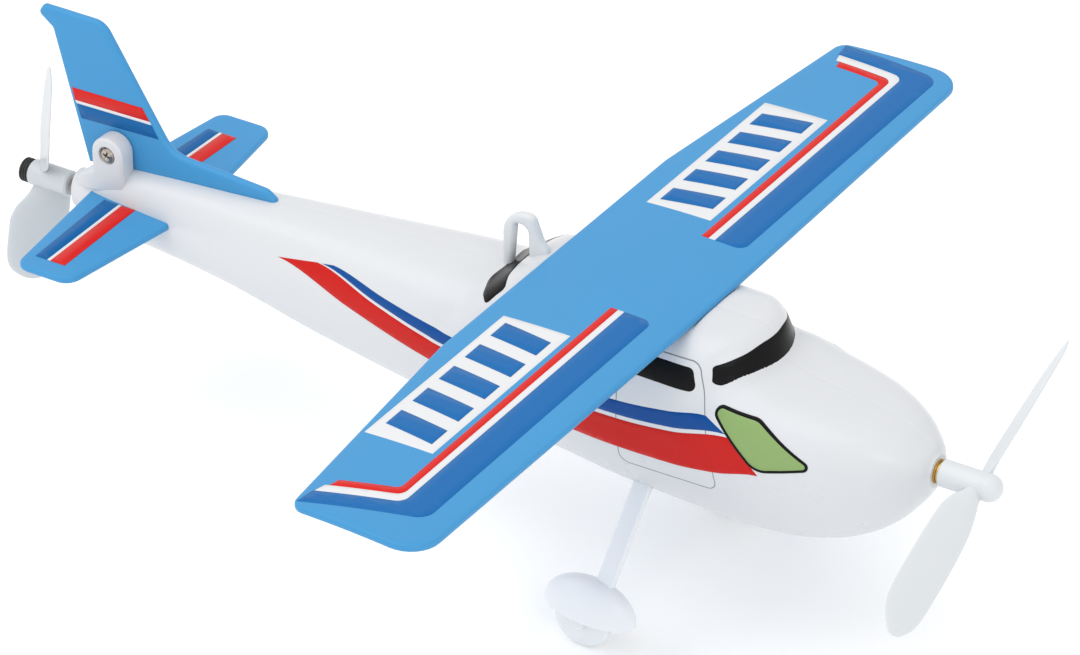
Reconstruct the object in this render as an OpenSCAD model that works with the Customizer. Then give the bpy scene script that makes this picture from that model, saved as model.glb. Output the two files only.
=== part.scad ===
// High-wing toy aeroplane with a rubber band motor: a hollow two-half fuselage, a one-piece wing
// and tailplane, a fin clamped in a tail lug, a nose propeller and a tail propeller on wire
// shafts, splayed legs with spats and rolling wheels, and a hanging loop behind the wing.
// +X points out of the nose, +Y to the port wing tip, +Z up. The origin lies on the ground,
// half-way along the model, in its plane of symmetry.

/* [Overall] */
// Wing span, tip to tip
wing_span = 280; // [260:5:320]
// Height of the propeller shafts above the ground
shaft_h = 62.5; // [61.5:0.5:64]
// Thickness of the fuselage shell
wall = 2.4; // [2.2:0.1:2.8]

/* [Wing] */
// Chord of the straight middle of the wing
wing_chord = 49.2; // [46:0.2:49.6]
// Chord at the wing tips
tip_chord = 39; // [34:0.5:42]
// Distance from the centre line to where the trailing edge starts to taper
taper_y = 56; // [45:1:70]
// Thickness of the wing plate
wing_t = 2.2; // [2:0.1:2.4]
// Rise of the wing's curved section
wing_camber = 0.9; // [0.6:0.1:1]

/* [Tail] */
// Span of the tailplane
tail_span = 98; // [80:1:110]
// Thickness of the tailplane
tailplane_t = 2.2; // [1.8:0.1:2.4]
// Thickness of the fin
fin_t = 2.6; // [2:0.1:3]

/* [Propellers] */
// Radius of the nose propeller
nose_prop_r = 50.5; // [40:0.5:56]
// Radius of the tail propeller
tail_prop_r = 32; // [26:0.5:36]
// Diameter of the shaft wire
wire_d = 1.6; // [1.4:0.1:1.6]
// Pitch of the nose propeller's blades out of their disc, in degrees
nose_pitch = 36; // [24:1:42]
// Pitch of the tail propeller's blades out of their disc, in degrees
tail_pitch = 44; // [34:1:46]

/* [Undercarriage] */
// Distance between the wheels
track = 76; // [72:1:80]
// Radius of the wheels
wheel_r = 8.5; // [7.5:0.25:8.5]
// Width of the wheels
wheel_w = 4; // [3:0.25:4]

/* [Hidden] */
$fn = 64;

gap = 0.15;              // clearance between pieces that slide together
fit = 0.08;              // radial clearance of a running bore
wire_r = wire_d / 2;

// Fuselage hull, one row per frame from the tail to the nose: position, half width,
// height above the shaft line, depth below it, corner power above and below that line
HULL = [
    [-136, 4.5, 6.0, 5.5, 2.2, 2.2],
    [-125, 7.6, 11.3, 8.2, 2.6, 2.3],
    [-107, 9.6, 13.3, 8.9, 2.5, 2.4],
    [-83, 11.8, 15.2, 11.1, 2.4, 2.4],
    [-47, 15.8, 18.0, 17.6, 2.4, 2.4],
    [-4, 21.3, 20.6, 22.2, 2.5, 2.4],
    [31, 23.6, 21.5, 24.6, 2.6, 2.4],
    [54, 24.4, 21.5, 27.4, 2.8, 2.4],
    [88, 24.4, 19.6, 28.9, 3.0, 2.4],
    [101, 23.4, 16.6, 28.2, 3.0, 2.4],
    [114, 20.6, 14.6, 25.2, 3.0, 2.4],
    [122, 17.2, 13.2, 21.5, 2.9, 2.4],
    [128.5, 13.6, 10.8, 16.6, 2.7, 2.3],
    [132.5, 10.4, 8.4, 12.0, 2.5, 2.2],
    [135.5, 7.2, 6.2, 7.6, 2.2, 2.1],
    [137, 4.6, 4.6, 4.6, 2, 2]
];
hull_tail_x = HULL[0][0];
hull_nose_x = HULL[len(HULL) - 1][0];
end_hole_r = 2;          // shell radius left open at nose and tail, drilled out for the bushes

// Cabin above the hull
cabin_half_w = 23.8;
cabin_h = 28.3;          // roof above the shaft line
cabin_p = 3.3;           // roundness of the roof's shoulders
screen_x = 91.3;         // foot of the windscreen on the centre line
screen_h = 19.5;         // height of the windscreen's foot above the shaft line
screen_lean = 0.18;      // backward lean of the windscreen, per mm of height
screen_bow = 0.024;      // sweep of the windscreen, per square mm of half width
rear_x = 5.6;            // foot of the rear window on the centre line
rear_h = 20.9;           // height of the rear window's foot above the shaft line
rear_lean = 1.05;        // forward lean of the rear window, per mm of height
rear_bow = 0.004;        // sweep of the rear window, per square mm of half width
cabin_edge = 14;         // length over which the roof rounds into its two ends
cabin_edge_p = 6;        // sharpness of that rounding
blend_p = 40;            // sharpness of the line where cabin meets hull
ring_n = 16;             // steps round half a frame

// Wing and its seat
wing_x = 70;             // leading edge
wing_top_h = 30.5;       // crown of the wing above the shaft line
wing_arc_r = (pow(wing_chord / 2, 2) + pow(wing_camber, 2)) / (2 * wing_camber);
tip_sweep = 1.4;         // how far the leading edge falls back at the tip
peg_r = 1.5;
peg_y = 8;
peg_l = 4.5;
PEG_X = [wing_x - 12, wing_x - 37];

// Tailplane, fin and their clamp; heights are above the shaft line
tailplane_h = 4.9;
tail_root_back_x = -128;
tail_root_back_y = 4;
tail_root_front_x = -98.5;
tail_root_front_y = 11;
tail_tip_back_x = -122;
tail_tip_front_x = -104;
FIN_FOOT = [[-131.8, 10], [-107, 12.5], [-83, 14.4], [-66.6, 15.4]];
lug_x = -121;
lug_h = 18.2;
lug_r = 5.2;
lug_foot_h = 8.3;
lug_half_w = 7.2;
screw_r = 1.1;
screw_head_r = 2.25;
screw_head_t = 1.6;

// Propellers, shafts and bushes
hub_r = 3.7;
nose_hub_x = 138.2;
nose_ball_x = 151.8;
nose_ball_r = 3.8;
nose_blade_x = 149;
nose_blade_turn = 111.5; // blade's rest angle from straight up
tail_hub_x = -139;
tail_hub_end_x = -152.4;
tail_blade_x = -149.8;
tail_blade_turn = -12;
tail_cap_x = -155.6;
blade_t = 1.1;
// Blade outlines: distance across the blade, share of the radius, corner radius
NOSE_BLADE = [
    [-2.5, 0.03, 0], [-6.7, 0.22, 4], [-6.7, 1, 5.6], [5.5, 1, 5], [7, 0.7, 6], [7, 0.22, 4], [2.5, 0.03, 0]
];
TAIL_BLADE = [
    [-4, 0.05, 0], [-9.2, 0.17, 2.5], [-8.4, 1, 7], [6.5, 1, 6], [8.2, 0.7, 6], [8, 0.42, 6], [1.5, 0.06, 0]
];
sleeve_r = 1.65;
bush_r = 2.35;
nose_bush_l = 9;
tail_bush_l = 9;
flange_r = 3.3;
flange_t = 0.6;
eye_r = 3.2;             // centre line of the wire eyes that hold the band
nose_eye_x = 112;
tail_eye_x = -92;
band_t = 1;
band_w = 2;
band_inner_r = wire_r + 0.3;

// Hanging loop
loop_t = 3;
loop_rear_x = 4.8;
loop_front_x = 14.2;
loop_top_h = 38;
loop_hole_rear_x = 7.2;
loop_hole_front_x = 13.3;
loop_hole_rear_lean = 1.6;    // how far each side of the hole leans in towards its top
loop_hole_front_lean = 0.6;
loop_hole_top_h = 34.5;
loop_foot_h = 14;
loop_foot_front_x = 19.5;

// Legs and spats; each strut runs from the belly to a foot inside its spat
axle_x = 53.5;
axle_y = track / 2;
leg_x = 59;
leg_y = 17.3;            // where the strut leaves the belly
leg_h = shaft_h - 21.3;
leg_w = 5;
leg_t = 2.4;
leg_inside = 5;          // length of the strut inside the belly
leg_stop_w = 10;         // crossbar that keeps the strut from pulling out
leg_stop_t = 1.6;
spat_l = 27.6;
spat_w = 13;
spat_rise = 10.6;        // height of the spat's dome
spat_x = axle_x + 1.7;
spat_base_h = wheel_r + 2.1;
spat_droop = 4;          // nose-down tilt of the spat, in degrees
cheek_t = 1.9;           // cheek that holds the axle beside the wheel
cheek_r = 2;
wheel_gap = 0.3;         // between a cheek and its wheel
leg_foot_y = axle_y - 0.5;
leg_foot_h = spat_base_h + 8;
leg_tilt = atan((leg_foot_y - leg_y) / (leg_h - leg_foot_h));
leg_l = norm([leg_foot_y - leg_y, leg_h - leg_foot_h]);

// Value k of the hull's slope at frame i: a monotone cubic's, so the hull never overshoots
function frame_slope(i, k) =
    i <= 0 || i >= len(HULL) - 1 ? 0 :
    let (a = (HULL[i][k] - HULL[i - 1][k]) / (HULL[i][0] - HULL[i - 1][0]))
    let (b = (HULL[i + 1][k] - HULL[i][k]) / (HULL[i + 1][0] - HULL[i][0]))
    a * b <= 0 ? 0 : 2 * a * b / (a + b);

function frame_index(x, i = 0) =
    i >= len(HULL) - 2 || x < HULL[i + 1][0] ? i : frame_index(x, i + 1);

// Value k of the hull at position x
function hull_at(x, k) =
    let (i = frame_index(x))
    let (d = HULL[i + 1][0] - HULL[i][0])
    let (t = min(1, max(0, (x - HULL[i][0]) / d)))
    HULL[i][k] * (1 + 2 * t) * pow(1 - t, 2) + HULL[i + 1][k] * (3 - 2 * t) * t * t
        + frame_slope(i, k) * d * t * pow(1 - t, 2)
        - frame_slope(i + 1, k) * d * (1 - t) * t * t;

// Distance from the shaft line to the hull, at angle a from straight up
function hull_reach(x, a) =
    let (k = cos(a) >= 0 ? 0 : 1)
    let (p = hull_at(x, 4 + k))
    let (across = abs(sin(a)) / hull_at(x, 1), up = abs(cos(a)) / hull_at(x, 2 + k))
    pow(pow(across, p) + pow(up, p), -1 / p);

// Below zero inside the cabin, at y across and z above the shaft line
function cabin_field(x, y, z) =
    let (front = screen_x - screen_lean * (z - screen_h) - screen_bow * y * y)
    let (rear = rear_x + rear_lean * (z - rear_h) + rear_bow * y * y)
    let (half_w = min(cabin_half_w, hull_at(x, 1) - 0.2))
    pow(abs(y) / half_w, cabin_p) + pow(z / cabin_h, cabin_p)
        + pow(max(0, 1 + (x - front) / cabin_edge), cabin_edge_p)
        + pow(max(0, 1 + (rear - x) / cabin_edge), cabin_edge_p) - 1;

// Distance from the shaft line to the cabin's skin, by halving the interval
function cabin_reach(x, a, near = 0, far = 36, steps = 12) =
    steps == 0 ? near :
    let (middle = (near + far) / 2)
    cabin_field(x, middle * sin(a), middle * cos(a)) < 0
        ? cabin_reach(x, a, middle, far, steps - 1)
        : cabin_reach(x, a, near, middle, steps - 1);

function has_cabin(x, a) = a < 90 && x > rear_x - 25 && x < screen_x + 5;

function skin_reach(x, a) =
    let (hull = hull_reach(x, a))
    let (cabin = has_cabin(x, a) ? cabin_reach(x, a) : 0)
    pow(pow(hull, blend_p) + pow(cabin, blend_p), 1 / blend_p);

function inner_reach(x, a) =
    x > hull_nose_x - wall || x < hull_tail_x + wall ? end_hole_r :
    min(skin_reach(x - wall, a), skin_reach(x, a), skin_reach(x + wall, a)) - 0.7 * wall;

function on_frame(x, a, r) = [x, r * sin(a), shaft_h + r * cos(a)];

// Polygon with round corners: each corner is [x, y, radius]
function corner_arc(before, here, after) =
    let (p = [here[0], here[1]])
    let (u = [before[0], before[1]] - p, v = [after[0], after[1]] - p)
    let (un = u / norm(u), vn = v / norm(v))
    let (half = acos(un * vn) / 2, bisector = un + vn)
    let (c = p + bisector / norm(bisector) * here[2] / sin(half))
    let (from = p + un * here[2] / tan(half) - c, to = p + vn * here[2] / tan(half) - c)
    let (a0 = atan2(from[1], from[0]), turn = atan2(to[1], to[0]) - a0)
    let (sweep = turn > 180 ? turn - 360 : turn < -180 ? turn + 360 : turn)
    [for (i = [0 : 6]) c + here[2] * [cos(a0 + sweep * i / 6), sin(a0 + sweep * i / 6)]];

function rounded(corners) =
    let (n = len(corners))
    [for (i = [0 : n - 1])
        each corners[i][2] == 0
            ? [[corners[i][0], corners[i][1]]]
            : corner_arc(corners[(i + n - 1) % n], corners[i], corners[(i + 1) % n])];

// Extrudes an outline drawn in the XZ plane, with its height above the ground, t thick about Y
module upright(t) {
    rotate([90, 0, 0]) linear_extrude(t, center = true) children();
}

module along_x(from_x, to_x, r, y = 0, h = shaft_h) {
    translate([min(from_x, to_x), y, h]) rotate([0, 90, 0]) cylinder(r = r, h = abs(to_x - from_x));
}

module along_y(from_y, to_y, r, x, h) {
    translate([x, to_y, h]) rotate([90, 0, 0]) cylinder(r = r, h = to_y - from_y);
}

// One port half of the hollow shell, closed at the seam, nose and tail
module shell_half() {
    frames = concat(
        [hull_tail_x, hull_tail_x + wall - 0.1, hull_tail_x + wall + 0.1],
        [for (x = [-128 : 6 : -8]) x],
        [for (x = [-2 : 2.5 : 25.5]) x],
        [for (x = [32 : 8 : 72]) x],
        [for (x = [76 : 2.4 : 97.6]) x],
        [for (x = [102 : 5 : 122]) x],
        [125, 128, 130.5, 132.5, hull_nose_x - wall - 0.1, hull_nose_x - wall + 0.1, 136, hull_nose_x]
    );
    n = 2 * (ring_n + 1);
    points = [for (x = frames) each concat(
        [for (i = [0 : ring_n]) let (a = 180 * i / ring_n) on_frame(x, a, skin_reach(x, a))],
        [for (i = [ring_n : -1 : 0]) let (a = 180 * i / ring_n) on_frame(x, a, inner_reach(x, a))]
    )];
    sides = [for (i = [0 : len(frames) - 2], j = [0 : n - 1])
        let (k = (j + 1) % n)
        [[i * n + j, (i + 1) * n + k, (i + 1) * n + j], [i * n + j, i * n + k, (i + 1) * n + k]]
    ];
    last = (len(frames) - 1) * n;
    end_walls = [for (i = [0 : ring_n - 1])
        let (j = n - 1 - i)
        [[i, j - 1, i + 1], [i, j, j - 1], [last + i, last + j - 1, last + j],
            [last + i, last + i + 1, last + j - 1]]
    ];
    polyhedron(points, [for (group = concat(sides, end_walls)) each group], convexity = 8);
}

// Ear of the tail clamp on the port side
module lug_ear() {
    inner_y = fin_t / 2 + gap;
    ear_t = lug_half_w - inner_y;
    translate([0, inner_y + ear_t / 2, 0]) upright(ear_t) polygon(rounded([
        [lug_x - lug_r, shaft_h + lug_foot_h, 0],
        [lug_x - lug_r, shaft_h + lug_h + lug_r, lug_r - 0.01],
        [lug_x + lug_r, shaft_h + lug_h + lug_r, lug_r - 0.01],
        [lug_x + lug_r, shaft_h + lug_foot_h, 0]
    ]));
}

// Space that the wing takes out of the cabin roof
module wing_seat() {
    centre_x = wing_x - wing_chord / 2;
    intersection() {
        translate([wing_x - wing_chord - gap, -30, shaft_h + 20])
            cube([wing_chord + 2 * gap, 60, 20]);
        difference() {
            translate([wing_x - wing_chord - 1, -31, shaft_h + 19]) cube([wing_chord + 2, 62, 22]);
            translate([centre_x, 0, shaft_h + wing_top_h - wing_arc_r])
                rotate([90, 0, 0])
                cylinder(r = wing_arc_r - wing_t - 0.05, h = 64, center = true, $fn = 720);
        }
    }
}

module peg_holes() {
    for (x = PEG_X) translate([x, peg_y, shaft_h + 20]) cylinder(r = peg_r + fit, h = 12);
}

function fin_outline() = rounded(concat([
    [-142.2, shaft_h + 49.6, 1.5],
    [-147, shaft_h + 53.2, 1.2],
    [-145.2, shaft_h + 55.9, 1.2],
    [-125, shaft_h + 55.9, 6],
    [-103.4, shaft_h + 21.2, 9],
    [-72, shaft_h + 19.2, 4]
], [for (i = [len(FIN_FOOT) - 1 : -1 : 0]) [FIN_FOOT[i][0], shaft_h + FIN_FOOT[i][1], 0]]));

// Groove for the fin's foot in the crest of the hull
module fin_groove() {
    rear_end = FIN_FOOT[0];
    front_end = FIN_FOOT[len(FIN_FOOT) - 1];
    upright(fin_t + 2 * gap) polygon(concat(
        [for (p = FIN_FOOT) [p[0], shaft_h + p[1] - gap]],
        [
            [front_end[0] + gap, shaft_h + front_end[1] - gap],
            [front_end[0] + gap, shaft_h + 40],
            [rear_end[0], shaft_h + 40]
        ]
    ));
}

function tailplane_outline(grow = 0) = rounded([
    [tail_root_back_x - grow, -tail_root_back_y, 0],
    [tail_tip_back_x - grow, -tail_span / 2, 4],
    [tail_tip_front_x + grow, -tail_span / 2, 5],
    [tail_root_front_x + grow, -tail_root_front_y, 3],
    [tail_root_front_x + grow, tail_root_front_y, 3],
    [tail_tip_front_x + grow, tail_span / 2, 5],
    [tail_tip_back_x - grow, tail_span / 2, 4],
    [tail_root_back_x - grow, tail_root_back_y, 0]
]);

module tailplane_plate(grow = 0) {
    translate([0, 0, shaft_h + tailplane_h - tailplane_t - grow])
        linear_extrude(tailplane_t + 2 * grow) polygon(tailplane_outline(grow));
}

module leg_strut(grow = 0) {
    translate([leg_x, leg_y, leg_h]) rotate([leg_tilt, 0, 0])
        translate([-leg_w / 2 - grow, -leg_t / 2 - grow, -leg_l])
        cube([leg_w + 2 * grow, leg_t + 2 * grow, leg_l + leg_inside]);
}

module loop_slots() {
    rear_leg = [loop_rear_x, loop_hole_rear_x + loop_hole_rear_lean];
    front_leg = [loop_hole_front_x - loop_hole_front_lean, loop_foot_front_x];
    for (ends = [rear_leg, front_leg])
        translate([ends[0] - gap, -loop_t / 2 - gap, shaft_h + loop_foot_h - gap])
            cube([ends[1] - ends[0] + 2 * gap, loop_t + 2 * gap, 22]);
}

// Port half of the fuselage with every hole and slot that it shares with its twin
module fuselage_half() {
    difference() {
        union() {
            shell_half();
            lug_ear();
        }
        wing_seat();
        peg_holes();
        fin_groove();
        tailplane_plate(gap);
        leg_strut(gap);
        loop_slots();
        along_y(0, lug_half_w + 1, screw_r + 0.1, lug_x, shaft_h + lug_h);
        along_x(hull_nose_x - nose_bush_l - 1, hull_nose_x + 1, bush_r);
        along_x(hull_tail_x - 1, hull_tail_x + tail_bush_l + 1, bush_r);
    }
}

module screw_recess() {
    along_y(lug_half_w - 1.5, lug_half_w + 1, screw_head_r + gap, lug_x, shaft_h + lug_h);
}

module fuselage_left() {
    color("whitesmoke") fuselage_half();
}

module fuselage_right() {
    color("white") mirror([0, 1, 0]) difference() {
        fuselage_half();
        screw_recess();
    }
}

function wing_outline() =
    let (half = wing_span / 2, tip_x = wing_x - tip_sweep)
    rounded([
        [wing_x, 0, 0],
        [tip_x, half, 9],
        [tip_x - tip_chord, half - 1.5, 4],
        [wing_x - wing_chord, taper_y, 30],
        [wing_x - wing_chord, -taper_y, 30],
        [tip_x - tip_chord, 1.5 - half, 4],
        [tip_x, -half, 9]
    ]);

module wing() {
    centre_h = shaft_h + wing_top_h - wing_arc_r;
    color("deepskyblue") {
        intersection() {
            translate([0, 0, shaft_h + 20]) linear_extrude(20) polygon(wing_outline());
            translate([wing_x - wing_chord / 2, 0, centre_h]) rotate([90, 0, 0]) difference() {
                cylinder(r = wing_arc_r, h = wing_span + 2, center = true, $fn = 720);
                cylinder(r = wing_arc_r - wing_t, h = wing_span + 4, center = true, $fn = 720);
            }
        }
        for (x = PEG_X, y = [-peg_y, peg_y])
            translate([x, y, shaft_h + wing_top_h - 1 - peg_l]) cylinder(r = peg_r, h = peg_l);
    }
}

module fin() {
    color("deepskyblue") difference() {
        upright(fin_t) polygon(fin_outline());
        along_y(-fin_t, fin_t, screw_r + 0.2, lug_x, shaft_h + lug_h);
    }
}

module tailplane() {
    color("deepskyblue") tailplane_plate();
}

// Self-tapping pan-head screw through the clamp and the fin, its head on the starboard side
module tail_screw() {
    head_y = -lug_half_w + 1.4;
    h = shaft_h + lug_h;
    color("silver") difference() {
        union() {
            along_y(head_y, lug_half_w - 2, screw_r, lug_x, h);
            along_y(head_y - screw_head_t, head_y, screw_head_r, lug_x, h);
        }
        for (turn = [20, 110])
            translate([lug_x, head_y - screw_head_t, h]) rotate([0, turn, 0])
                cube([2.8, 1.6, 0.6], center = true);
    }
}

// Eye for a hanging thread, its feet held between the fuselage halves
module hang_loop() {
    color("ghostwhite") upright(loop_t) difference() {
        polygon(rounded([
            [loop_rear_x, shaft_h + loop_foot_h, 0],
            [loop_rear_x, shaft_h + loop_top_h, 7],
            [loop_front_x, shaft_h + loop_top_h, 2.4],
            [loop_front_x + 2.6, shaft_h + wing_top_h + 0.7, 8],
            [loop_foot_front_x, shaft_h + cabin_h - 1, 0],
            [loop_foot_front_x, shaft_h + loop_foot_h, 0]
        ]));
        polygon(rounded([
            [loop_hole_rear_x, shaft_h + loop_foot_h + 2.5, 0],
            [loop_hole_rear_x + loop_hole_rear_lean, shaft_h + loop_hole_top_h, 1.2],
            [loop_hole_front_x - loop_hole_front_lean, shaft_h + loop_hole_top_h, 2.3],
            [loop_hole_front_x, shaft_h + loop_foot_h + 2.5, 0]
        ]));
    }
}

module bush(face_x, length, outward) {
    difference() {
        union() {
            along_x(face_x, face_x - outward * length, bush_r);
            along_x(face_x, face_x + outward * flange_t, flange_r);
        }
        along_x(face_x - outward * (length + 1), face_x + outward * (flange_t + 1), wire_r + fit);
    }
}

module washer(from_x, to_x, r) {
    difference() {
        along_x(from_x, to_x, r);
        along_x(from_x - 1, to_x + 1, wire_r + fit);
    }
}

module nose_bush() {
    color("goldenrod") bush(hull_nose_x, nose_bush_l, 1);
}

module nose_washer() {
    color("goldenrod") washer(hull_nose_x + flange_t + 0.05, nose_hub_x - 0.05, 3);
}

module tail_bush() {
    color("silver") difference() {
        along_x(hull_tail_x - 0.4, hull_tail_x + tail_bush_l, bush_r);
        along_x(hull_tail_x - 2, hull_tail_x + tail_bush_l + 1, wire_r + fit);
    }
}

module tail_washer() {
    color("silver") washer(hull_tail_x - 1, hull_tail_x - 0.45, 2);
}

// Wire shaft that ends in an eye; the eye is open where it comes back to the shaft
module wire_shaft(end_x, eye_x, inward) {
    along_x(end_x, eye_x - inward * eye_r, wire_r);
    translate([eye_x, 0, shaft_h]) rotate([90, 0, 0])
        rotate([0, 0, inward > 0 ? 180 : 0])
        rotate_extrude(angle = 325) translate([eye_r, 0]) circle(r = wire_r, $fn = 32);
}

module nose_shaft() {
    color("silver") wire_shaft(nose_blade_x, nose_eye_x, -1);
}

module tail_shaft() {
    color("silver") wire_shaft(tail_cap_x + 1.2, tail_eye_x, 1);
}

// Two flat paddle blades of one outline, at the given pitch
module blade_pair(x, r, outline, turn, pitch) {
    for (half_turn = [0, 180])
        translate([x, 0, shaft_h]) rotate([turn + half_turn, 0, 0]) rotate([0, 0, pitch])
            rotate([90, 0, 90]) linear_extrude(blade_t, center = true)
                polygon(rounded([for (corner = outline) [corner[0], corner[1] * r, corner[2]]]));
}

module nose_propeller() {
    color("ghostwhite") difference() {
        union() {
            along_x(nose_hub_x, nose_ball_x, hub_r);
            translate([nose_ball_x, 0, shaft_h]) sphere(r = nose_ball_r);
            blade_pair(nose_blade_x, nose_prop_r, NOSE_BLADE, nose_blade_turn, nose_pitch);
        }
        along_x(nose_hub_x - 1, nose_blade_x, wire_r);
    }
}

module tail_propeller() {
    color("gainsboro") difference() {
        union() {
            along_x(tail_hub_end_x, tail_hub_x, hub_r);
            blade_pair(tail_blade_x, tail_prop_r, TAIL_BLADE, tail_blade_turn, tail_pitch);
        }
        along_x(tail_hub_end_x - 1, tail_hub_x + 1, wire_r);
        along_x(tail_hub_x - 6, tail_hub_x + 1, sleeve_r);
    }
}

module tail_propeller_sleeve() {
    color("silver") difference() {
        along_x(tail_hub_x - 6, tail_hub_x + 0.3, sleeve_r);
        along_x(tail_hub_x - 7, tail_hub_x + 1, wire_r);
    }
}

module tail_cap() {
    color("black") difference() {
        along_x(tail_cap_x, tail_hub_end_x, 3.5);
        along_x(tail_cap_x + 1.2, tail_hub_end_x + 1, wire_r);
    }
}

// Outline of the band where it passes round the inner ends of the two eyes
module band_ring(r) {
    tail_end_x = tail_eye_x + eye_r;
    nose_end_x = nose_eye_x - eye_r;
    translate([tail_end_x, -r]) square([nose_end_x - tail_end_x, 2 * r]);
    for (x = [tail_end_x, nose_end_x]) translate([x, 0]) circle(r = r);
}

module rubber_band() {
    color("tan") translate([0, 0, shaft_h - band_w / 2]) linear_extrude(band_w) difference() {
        band_ring(band_inner_r + band_t);
        band_ring(band_inner_r);
    }
}

// Half of an ellipsoid, flat below
module dome(length, width, rise, rings = 8, sides = 36) {
    top = rings * sides;
    points = concat(
        [for (i = [0 : rings - 1], j = [0 : sides - 1])
            let (up = 90 * i / rings, around = 360 * j / sides)
            [length / 2 * cos(up) * cos(around), width / 2 * cos(up) * sin(around), rise * sin(up)]],
        [[0, 0, rise], [0, 0, 0]]
    );
    walls = [for (i = [0 : rings - 2], j = [0 : sides - 1])
        let (k = (j + 1) % sides, low = i * sides, high = (i + 1) * sides)
        [[low + j, high + j, low + k], [high + j, high + k, low + k]]
    ];
    ends = [for (j = [0 : sides - 1])
        let (k = (j + 1) % sides, high = top - sides)
        [[high + j, top, high + k], [j, k, top + 1]]
    ];
    polyhedron(points, [for (group = concat(walls, ends)) each group], convexity = 4);
}

// Dome with two cheeks that reach down past the axle
module spat() {
    translate([spat_x, axle_y, spat_base_h]) rotate([0, spat_droop, 0]) dome(spat_l, spat_w, spat_rise);
    cheek_y = wheel_w / 2 + wheel_gap + cheek_t;
    along_y(axle_y - cheek_y, axle_y + cheek_y, cheek_r, axle_x, wheel_r);
    translate([axle_x - cheek_r, axle_y - cheek_y, wheel_r])
        cube([2 * cheek_r, 2 * cheek_y, spat_base_h - wheel_r + 2]);
}

// Splayed strut with its spat, on the port side
module leg() {
    slot_y = wheel_w / 2 + wheel_gap;
    difference() {
        union() {
            leg_strut();
            translate([leg_x, leg_y, leg_h]) rotate([leg_tilt, 0, 0])
                translate([-leg_stop_w / 2, -leg_t / 2, leg_inside - leg_stop_t])
                cube([leg_stop_w, leg_t, leg_stop_t]);
            spat();
        }
        along_y(axle_y - slot_y, axle_y + slot_y, wheel_r + 0.4, axle_x, wheel_r);
        along_y(axle_y - spat_w, axle_y + spat_w, wire_r, axle_x, wheel_r);
    }
}

module wheel() {
    difference() {
        along_y(axle_y - wheel_w / 2, axle_y + wheel_w / 2, wheel_r, axle_x, wheel_r);
        along_y(axle_y - wheel_w, axle_y + wheel_w, wire_r + fit, axle_x, wheel_r);
    }
}

module axle_pin() {
    half_l = wheel_w / 2 + wheel_gap + cheek_t;
    along_y(axle_y - half_l, axle_y + half_l, wire_r, axle_x, wheel_r);
}

module leg_left() {
    color("ghostwhite") leg();
}

module leg_right() {
    color("ghostwhite") mirror([0, 1, 0]) leg();
}

module wheel_left() {
    color("gainsboro") wheel();
}

module wheel_right() {
    color("gainsboro") mirror([0, 1, 0]) wheel();
}

module axle_pin_left() {
    color("ghostwhite") axle_pin();
}

module axle_pin_right() {
    color("ghostwhite") mirror([0, 1, 0]) axle_pin();
}

fuselage_left();
fuselage_right();
wing();
fin();
tailplane();
tail_screw();
hang_loop();
nose_bush();
nose_washer();
nose_shaft();
nose_propeller();
tail_bush();
tail_washer();
tail_shaft();
tail_propeller();
tail_propeller_sleeve();
tail_cap();
rubber_band();
leg_left();
leg_right();
wheel_left();
wheel_right();
axle_pin_left();
axle_pin_right();
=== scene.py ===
"""Looks of a toy plane with a rubber band motor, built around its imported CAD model.

Lengths in this file are millimetres, turned into metres when a mesh is made. +X points out of
the nose, +Y to the port wing tip and +Z up. A height named h is above the propeller shafts' line.
"""

import math

import bmesh
import bpy
import numpy as np
from mathutils import Matrix, Vector
from mathutils.geometry import delaunay_2d_cdt


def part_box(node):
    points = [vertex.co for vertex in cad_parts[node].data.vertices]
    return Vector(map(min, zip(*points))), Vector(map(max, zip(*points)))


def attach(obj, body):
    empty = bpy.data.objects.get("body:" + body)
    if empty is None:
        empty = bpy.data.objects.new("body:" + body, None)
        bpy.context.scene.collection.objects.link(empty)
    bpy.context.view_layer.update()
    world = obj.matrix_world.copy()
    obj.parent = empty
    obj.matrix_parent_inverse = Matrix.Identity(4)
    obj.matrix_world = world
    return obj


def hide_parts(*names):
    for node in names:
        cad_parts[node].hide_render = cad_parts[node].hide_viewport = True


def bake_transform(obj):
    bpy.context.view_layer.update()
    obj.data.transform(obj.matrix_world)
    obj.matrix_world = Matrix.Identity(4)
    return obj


MM = 0.001
PORT, STARBOARD = 1, -1
SIDES = ((PORT, "port"), (STARBOARD, "starboard"))

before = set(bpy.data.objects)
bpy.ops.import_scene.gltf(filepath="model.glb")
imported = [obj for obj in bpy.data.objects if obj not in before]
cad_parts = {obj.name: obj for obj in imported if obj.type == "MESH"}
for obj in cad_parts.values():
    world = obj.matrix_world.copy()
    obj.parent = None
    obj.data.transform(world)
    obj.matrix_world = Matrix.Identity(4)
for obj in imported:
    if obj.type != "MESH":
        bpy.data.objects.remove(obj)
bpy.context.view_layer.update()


def node_box(node):
    """Lowest and highest corner of a CAD node, in millimetres."""
    low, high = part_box(node)
    return np.array(low) / MM, np.array(high) / MM


SHAFT_H = float(sum(corner[2] for corner in node_box("nose_bush")) / 2)

# ---------------- fuselage surface

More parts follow.
